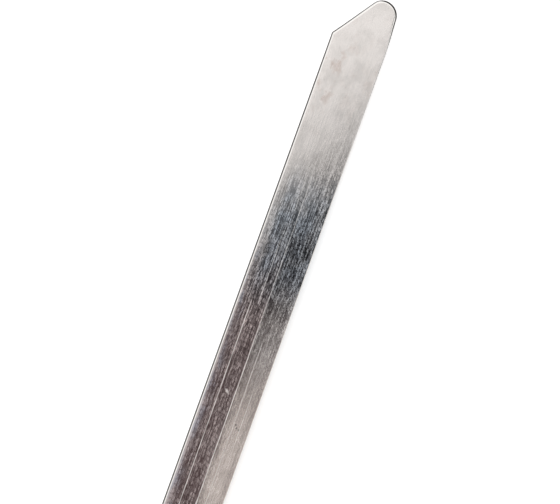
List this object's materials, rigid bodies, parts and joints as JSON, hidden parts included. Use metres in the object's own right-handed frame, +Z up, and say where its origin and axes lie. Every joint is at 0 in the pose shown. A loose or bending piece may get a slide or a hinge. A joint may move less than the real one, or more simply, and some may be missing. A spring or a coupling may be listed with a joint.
{
  "type": "pry bar",
  "caption": "Thin flat steel pry bar with an oblique round nose, a bowed and ground front, and a riveted hardwood handle with a struck butt cap.",
  "frame": {"origin": "centre of the underside of the bounding box, halfway along the whole bar", "axes": "+X from the struck butt to the nose, +Z up out of the bar's upper face along the hanging hole, +Y towards the short corner of the nose's oblique cut"},
  "size_m": [0.354, 0.0266, 0.0186],
  "materials": {
    "bar_steel": "brushed along its length",
    "satin_steel": "satin",
    "pin_steel": "polished flush",
    "hardwood": "oiled",
    "brass": "polished flush",
    "fibre": "matte vulcanised fibre"
  },
  "bodies": {
    "root": {"blade": "bar_steel", "liner_upper": "fibre", "liner_lower": "fibre", "scale_upper": "hardwood", "scale_lower": "hardwood", "bolster_upper": "satin_steel", "bolster_lower": "satin_steel", "strike_cap": "satin_steel", "rivet_sleeves": "brass", "rivet_studs": "brass", "hang_tube": "brass", "bolster_pins": "pin_steel", "cap_pin": "pin_steel"}
  },
  "joints": []
}
